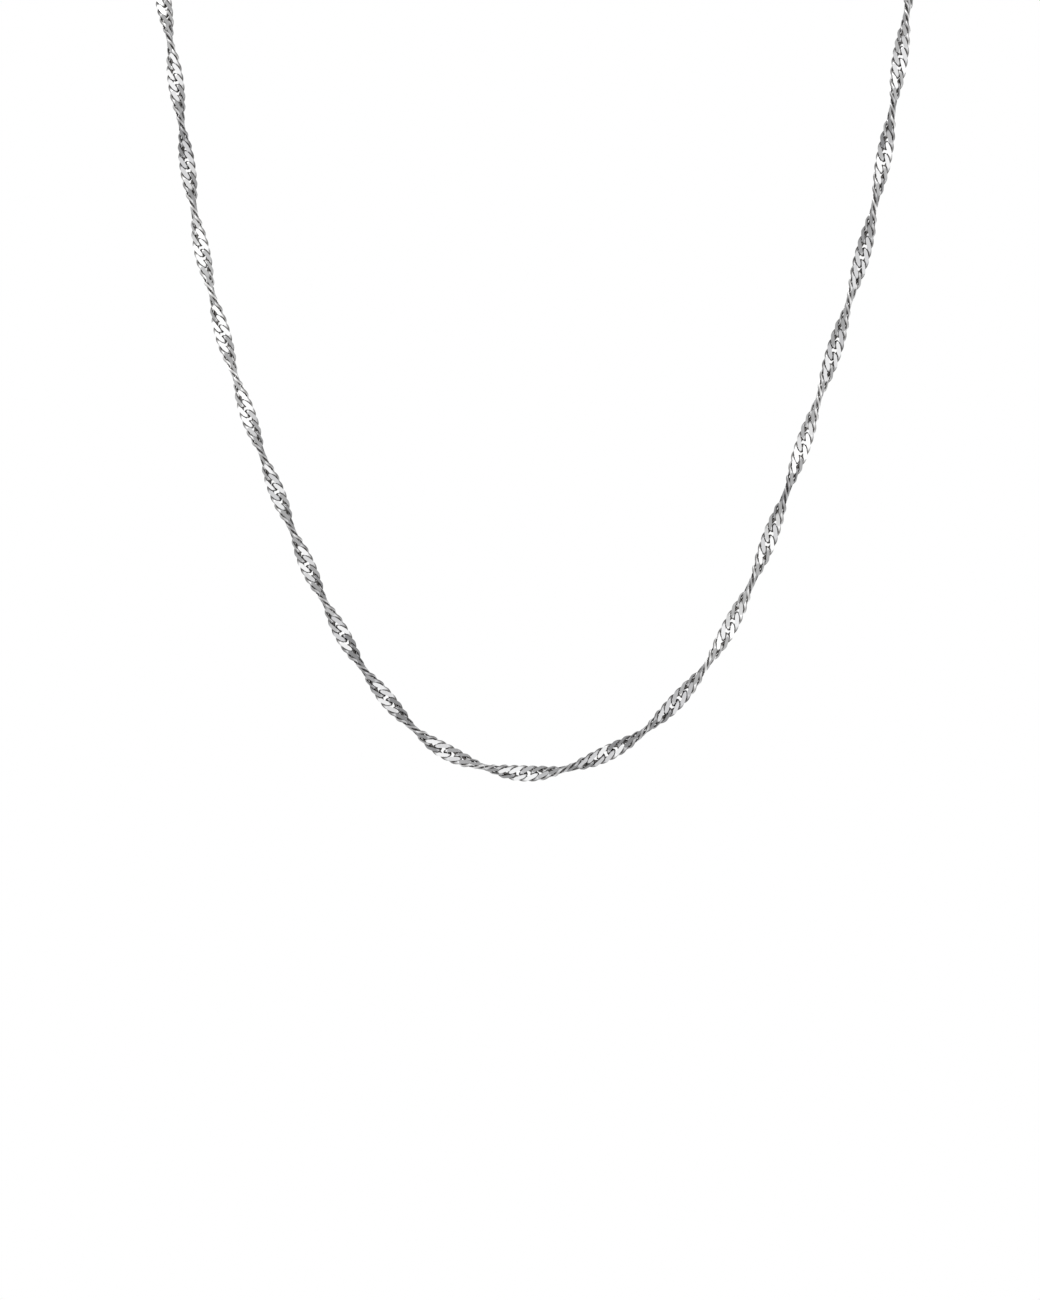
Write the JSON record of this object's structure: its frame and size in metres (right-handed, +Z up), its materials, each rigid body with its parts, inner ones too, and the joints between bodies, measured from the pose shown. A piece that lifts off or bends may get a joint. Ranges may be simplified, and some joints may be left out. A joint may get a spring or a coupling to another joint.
{
  "type": "twisted chain necklace",
  "caption": "Fine necklace: a twisted ribbon of flat-cut double curb links in a deep U, closed at the nape by a spring ring, a jump ring and a catch ring.",
  "frame": {"origin": "on the skin of the nape, behind the middle of the closure", "axes": "+Z up, +X to the right as seen from the front, the front of the necklace faces -Y"},
  "size_m": [0.096, 0.0886, 0.1228],
  "materials": {
    "chain_silver": "bright plated silver, links cut flat and polished",
    "ring_silver": "polished silver wire",
    "clasp_silver": "polished silver with light wear"
  },
  "bodies": {
    "root": {"twisted_chain": "chain_silver", "jump_ring": "ring_silver", "catch_ring": "ring_silver", "spring_ring_clasp": "clasp_silver"}
  },
  "joints": []
}
